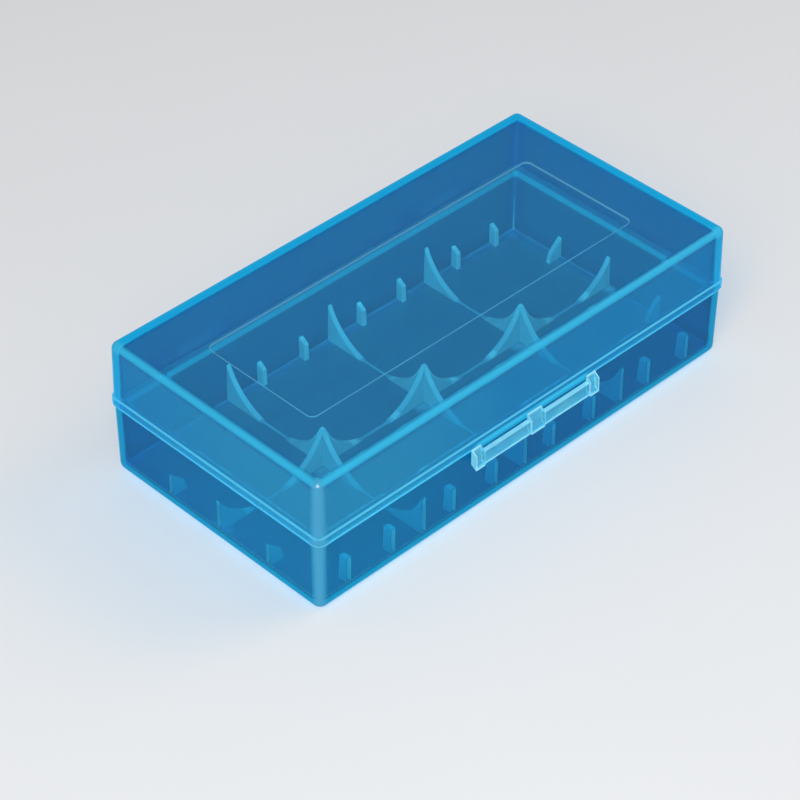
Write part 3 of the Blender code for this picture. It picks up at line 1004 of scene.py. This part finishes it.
def latch_highlights(finish, x, z):
    """Painted highlights: 1 along the foot, the tips and the two ends of the latch, and less along the
    lines inside.
    """
    along = finish.calc("ABSOLUTE", x)
    foot = LID_LOW - LATCH_DROP + LIP_FLARE
    tip = LID_LOW + LATCH_TOP_LIFT
    bar_end = LATCH_LENGTH / 2 - END_BLOCK
    end_line = line_at(finish, along, LATCH_LENGTH / 2 - LATCH_EASE, LATCH_LINE_REACH)
    foot_line = finish.fall(z, foot, foot + LATCH_FOOT_REACH)
    tip_line = finish.fade(z, tip - LATCH_FOOT_REACH, tip)
    end_block = line_at(finish, along, bar_end, LATCH_LINE_REACH)
    middle_block = line_at(finish, along, MIDDLE_BLOCK / 2, LATCH_LINE_REACH)
    past_middle = finish.fade(along, MIDDLE_BLOCK / 2, MIDDLE_BLOCK / 2 + LATCH_EASE)
    on_bar = finish.both(past_middle, finish.fall(along, bar_end - LATCH_EASE, bar_end))
    bar_line = finish.both(line_at(finish, z, LID_LOW - BAR_DROP, LATCH_LINE_REACH), on_bar)
    inside = finish.most(end_block, middle_block, bar_line)
    return finish.most(end_line, foot_line, tip_line, finish.both(inside, INNER_LINE_SHARE))


def layered(finish, colour, clear, layers):
    """Lays layers over a tone: each has a share, a colour and a clearness, or None to keep it."""
    for share, layer_colour, layer_clear in layers:
        colour = finish.blend(share, colour, layer_colour)
        if layer_clear is not None:
            clear = finish.blend(share, clear, layer_clear)
    return colour, clear


def tray_plastic():
    """See-through blue, with hazier tones over the ribs, seam, tongue and lugs; hazier painted
    highlights along the edges, crests, fins and top edge; painted light near the front left corner and
    in the latch pocket; and painted shade on the far walls.
    """
    finish = Finish("tray_plastic")
    x, y, z = finish.place()
    sides = Sides(finish, x, y)
    outside = outer_share(finish, sides, z)
    indoors = finish.calc("SUBTRACT", 1.0, outside)
    cloud = finish.fade(finish.noise(CLOUD_SCALE, CLOUD_DETAIL), *CLOUD_RANGE)
    grain = finish.noise(GRAIN_SCALE, GRAIN_DETAIL)
    floor = finish.fall(z, FLOOR_CORE, FLOOR_REACH)
    # The walls are painted lighter near the front left corner as painted light, with a random cloudy
    # tone over them
    wall = finish.blend(painted_corner_light(finish, sides), TRAY_WALL, TRAY_WALL_CLOUD_AND_PAINTED_LIGHT)
    wall = finish.blend(finish.both(cloud, CLOUD_SHARE), wall, TRAY_WALL_CLOUD_AND_PAINTED_LIGHT)
    rib = standing(finish, sides, z, STAND_CLEAR, STAND_FULL)
    inner_foot = WALL + INNER_RADIUS
    past_round = finish.fade(sides.nearest, inner_foot, inner_foot + RIDGE_FULL)
    ridge_share = finish.both(standing(finish, sides, z, RIDGE_CLEAR, RIDGE_FULL), past_round)
    seam_low = finish.fade(z, TRAY_HEIGHT - SEAM_RISE, TRAY_HEIGHT)
    inner_low = finish.fade(z, TRAY_HEIGHT - SEAM_INNER_RISE, TRAY_HEIGHT - SEAM_INNER_CORE)
    seam_low = finish.blend(outside, inner_low, seam_low)
    seam_high = finish.fall(z, LID_LOW, LID_LOW + SEAM_REACH)
    tongue = finish.fade(z, TRAY_HEIGHT - EASE, TRAY_HEIGHT + TONGUE_EASE)
    lug = finish.fade(y, HALF_WIDTH + LINE_CORE, HALF_WIDTH + LINE_REACH)
    near_foot = finish.most(finish.least(sides.left, sides.front), z)
    far_foot = finish.most(finish.least(sides.right, sides.back), z)
    foot_place = finish.both(outside, finish.fade(z, FOOT_CORE, FOOT_REACH))
    top_highlight = line_at(finish, z, TRAY_HEIGHT, LINE_REACH)
    layers = [
        # Painted shade on the inside of the far walls
        (painted_far_wall_shade(finish, sides, outside), TRAY_FAR_WALL_SHADE, FAR_WALL_CLEARNESS),
        (floor, TRAY_FLOOR, TRAY_FLOOR_CLEARNESS),
        (finish.both(floor, indoors, star_foot(finish, x, y)), RIB, RIB_CLEARNESS),
        # Painted highlights along the upright edges and along the foot
        *lit_edge(finish, from_uprights(finish, sides), LIT_EDGE, outside, TRAY_EDGE_HIGHLIGHT, TRAY_EDGE_ROUND_HIGHLIGHT),
        *highlighted_edge(finish, far_foot, LIT_FOOT, foot_place, FAR_FOOT_HIGHLIGHT),
        *lit_edge(finish, near_foot, LIT_FOOT, foot_place, TRAY_EDGE_HIGHLIGHT, TRAY_EDGE_ROUND_HIGHLIGHT),
        # Painted highlight down the front left upright edge
        (corner_highlight(finish, sides), STREAK_HIGHLIGHT, EDGE_CLEARNESS),
        (tongue, TONGUE, TONGUE_CLEARNESS),
        (finish.both(seam_low, seam_high), SEAM, SEAM_CLEARNESS),
        # Painted highlight along the tray's top edge
        (finish.both(skin(finish, sides), top_highlight), TRAY_RIM_HIGHLIGHT, RIM_LINE_CLEARNESS),
        # Painted light in the pocket above the latch's bar
        (pocket_light(finish, x, y, z), POCKET_LIGHT, EDGE_CLEARNESS),
        (finish.both(ridge_share, RIDGE_SHARE), RIB, RIB_CLEARNESS),
        (rib, RIB, RIB_CLEARNESS),
        # Painted highlights on the crests of the plates and the edges of the fins
        (finish.both(rib, crest_light(finish, x, y, z)), CREST_HIGHLIGHT, CREST_CLEARNESS),
        (finish.both(rib, fin_light(finish, x, y, z, sides)), CREST_HIGHLIGHT, CREST_CLEARNESS),
        (lug, LUG, LUG_CLEARNESS),
    ]
    colour, clear = layered(finish, wall, TRAY_CLEARNESS, layers)
    rough = finish.fade(grain, *GRAIN_RANGE, *TRAY_ROUGHNESS)
    normal = finish.bump(grain, BUMP_STRENGTH, BUMP_DEPTH)
    sheen = finish.both(floor, indoors, SHEEN)
    return finish.close(colour, clear, rough, normal, LAMP_TINT, sheen)


def lid_plastic():
    """See-through blue with a clearer top and hazier lugs; hazier painted highlights along the edges,
    rim and panel step, and a painted glint at the front left corner; painted light near that corner and
    in the latch pocket; and painted shade on the far walls.
    """
    finish = Finish("lid_plastic")
    x, y, z = finish.place()
    sides = Sides(finish, x, y)
    from_top = finish.calc("SUBTRACT", CASE_HEIGHT, z)
    outside = outer_share(finish, sides, from_top)
    cloud = finish.fade(finish.noise(CLOUD_SCALE, CLOUD_DETAIL), *CLOUD_RANGE)
    grain = finish.noise(GRAIN_SCALE, GRAIN_DETAIL)
    top = finish.fall(from_top, CEILING_CORE, CEILING_REACH)
    # The walls are painted lighter near the front left corner as painted light, with a random cloudy
    # tone over them
    wall = finish.blend(painted_corner_light(finish, sides), LID_WALL, LID_WALL_CLOUD_AND_PAINTED_LIGHT)
    wall = finish.blend(finish.both(cloud, CLOUD_SHARE), wall, LID_WALL_CLOUD_AND_PAINTED_LIGHT)
    far_top = finish.most(finish.least(sides.right, sides.back), from_top)
    skin_share = skin(finish, sides)
    upper_highlight = line_at(finish, z, LID_LOW + RIM_HEIGHT, SOFT_LINE_REACH)
    lower_highlight = line_at(finish, z, LID_LOW, SOFT_LINE_REACH)
    rim_y = HALF_WIDTH + RIM_PROUD
    lug = finish.fade(y, rim_y + LINE_CORE, rim_y + LINE_REACH)
    layers = [
        # Painted shade on the inside of the far walls
        (painted_far_wall_shade(finish, sides, outside), LID_FAR_WALL_SHADE, FAR_WALL_CLEARNESS),
        (top, LID_TOP, LID_TOP_CLEARNESS),
        # Painted highlights along the upright edges and the edges of the top
        *lit_edge(finish, from_uprights(finish, sides), LIT_EDGE, outside, LID_EDGE_HIGHLIGHT, LID_EDGE_ROUND_HIGHLIGHT),
        *lit_edge(finish, far_top, LIT_EDGE, outside, LID_EDGE_HIGHLIGHT, LID_EDGE_ROUND_HIGHLIGHT),
        *near_edge(finish, sides, from_top),
        # Painted highlight and painted glint at the front left corner
        (corner_highlight(finish, sides), STREAK_HIGHLIGHT, EDGE_CLEARNESS),
        (corner_glint(finish, sides, from_top), SPOT_GLINT, EDGE_CLEARNESS),
        # Painted highlights along the rim's upper and lower edges
        (finish.both(skin_share, upper_highlight), UPPER_RIM_HIGHLIGHT, RIM_LINE_CLEARNESS),
        (finish.both(skin_share, lower_highlight), LOWER_RIM_HIGHLIGHT, RIM_LINE_CLEARNESS),
        # Painted light in the pocket above the latch's bar
        (pocket_light(finish, x, y, z), POCKET_LIGHT, EDGE_CLEARNESS),
        # Painted highlight along the step around the panel
        (panel_highlight(finish, x, y, z), PANEL_HIGHLIGHT, PANEL_LINE_CLEARNESS),
        (lug, LUG, LUG_CLEARNESS),
    ]
    colour, clear = layered(finish, wall, LID_WALL_CLEARNESS, layers)
    rough = finish.fade(grain, *GRAIN_RANGE, *LID_ROUGHNESS)
    normal = finish.bump(grain, BUMP_STRENGTH, BUMP_DEPTH)
    return finish.close(colour, clear, rough, normal, LAMP_TINT)


def latch_plastic():
    """Clearer and paler than the mouldings, with painted highlights along its edges."""
    finish = Finish("latch_plastic")
    x, y, z = finish.place()
    cloud = finish.fade(finish.noise(LATCH_CLOUD_SCALE, CLOUD_DETAIL), *CLOUD_RANGE)
    grain = finish.noise(LATCH_GRAIN_SCALE, LATCH_GRAIN_DETAIL)
    fill = finish.blend(cloud, LATCH_PALE, LATCH_DEEP)
    # Painted highlights along the latch's edges
    edges = finish.both(latch_highlights(finish, x, z), LATCH_LINE_SHARE)
    colour, clear = layered(finish, fill, LATCH_CLEARNESS, [(edges, LATCH_EDGE_HIGHLIGHT, EDGE_CLEARNESS)])
    rough = finish.fade(grain, *GRAIN_RANGE, *LATCH_ROUGHNESS)
    normal = finish.bump(grain, BUMP_STRENGTH, BUMP_DEPTH)
    return finish.close(colour, clear, rough, normal, LATCH_TINT)


def dress(piece, node, body, material):
    """Shades a piece, gives it its material, and says what it rides on and stands for."""
    finish_surface(piece)
    piece.data.materials.clear()
    piece.data.materials.append(material)
    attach(piece, body)
    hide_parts(node)


# Camera, stage and lamps: places and sizes in metres, turns in degrees, powers in watts
LENS_MM = 135
SENSOR_MM = 36
NEAREST_SEEN = 0.01
FARTHEST_SEEN = 20
CAMERA_PLACE = (-0.22483, -0.22323, 0.26488)
CAMERA_TURN = (50.24299, -0.16788, -44.47371)
STAGE_SIZE = 6
STAGE_SCALE = 8
STAGE_DETAIL = 3
STAGE_RANGE = (0.3, 0.7)
STAGE_ROUGHNESS = 0.6
STAGE_DULL = (0.79, 0.80, 0.81, 1)
STAGE_PALE = (0.81, 0.82, 0.83, 1)
KEY_PLACE = (-0.42, -0.30, 0.50)
KEY_SIZE = 0.35
KEY_POWER = 4.0
FILL_PLACE = (0.55, -0.25, 0.45)
FILL_SIZE = 0.4
FILL_POWER = 1.8
SKY = (0.95, 0.97, 1.0, 1)
SKY_STRENGTH = 0.30


def make_camera():
    """The camera at the place and angle that the photograph was taken from."""
    data = bpy.data.cameras.new("camera")
    data.lens = LENS_MM
    data.sensor_width = SENSOR_MM
    data.clip_start = NEAREST_SEEN
    data.clip_end = FARTHEST_SEEN
    camera = bpy.data.objects.new("camera", data)
    bpy.context.scene.collection.objects.link(camera)
    turn = Euler([math.radians(angle) for angle in CAMERA_TURN])
    camera.matrix_world = Matrix.Translation(CAMERA_PLACE) @ turn.to_matrix().to_4x4()
    bpy.context.scene.camera = camera


def make_floor():
    """The plain pale floor that the case stands on."""
    bpy.ops.object.select_all(action="DESELECT")
    bpy.ops.mesh.primitive_plane_add(size=STAGE_SIZE, location=(0, 0, 0))
    floor = bpy.context.active_object
    floor.name = "floor"
    finish = Finish("pale_floor")
    speckle = finish.fade(finish.noise(STAGE_SCALE, STAGE_DETAIL), *STAGE_RANGE)
    shader = finish.node("ShaderNodeBsdfPrincipled", Roughness=STAGE_ROUGHNESS)
    finish.feed(shader.inputs["Base Color"], finish.blend(speckle, STAGE_DULL, STAGE_PALE))
    out = finish.node("ShaderNodeOutputMaterial")
    finish.feed(out.inputs["Surface"], shader.outputs[0])
    floor.data.materials.append(finish.material)


def add_area(name, place, size, power):
    """A square lamp that shines on the middle of the floor."""
    data = bpy.data.lights.new(name, "AREA")
    data.shape = "SQUARE"
    data.size = size
    data.energy = power
    lamp = bpy.data.objects.new(name, data)
    bpy.context.scene.collection.objects.link(lamp)
    lamp.location = place
    lamp.rotation_euler = (-Vector(place)).to_track_quat("-Z", "Y").to_euler()


def make_light():
    """A pale sky, a main lamp at the front left and a weaker one at the front right."""
    world = bpy.data.worlds.new("studio")
    bpy.context.scene.world = world
    world.use_nodes = True
    background = world.node_tree.nodes["Background"]
    background.inputs["Color"].default_value = SKY
    background.inputs["Strength"].default_value = SKY_STRENGTH
    add_area("key", KEY_PLACE, KEY_SIZE, KEY_POWER)
    add_area("fill", FILL_PLACE, FILL_SIZE, FILL_POWER)


make_camera()
make_floor()
make_light()
dress(tray_shell(), "base_tray", "tray", tray_plastic())
dress(lid_shell(), "lid", "lid", lid_plastic())
dress(latch_clip(), "front_latch", "latch", latch_plastic())
bpy.context.scene.view_settings.view_transform = "Standard"
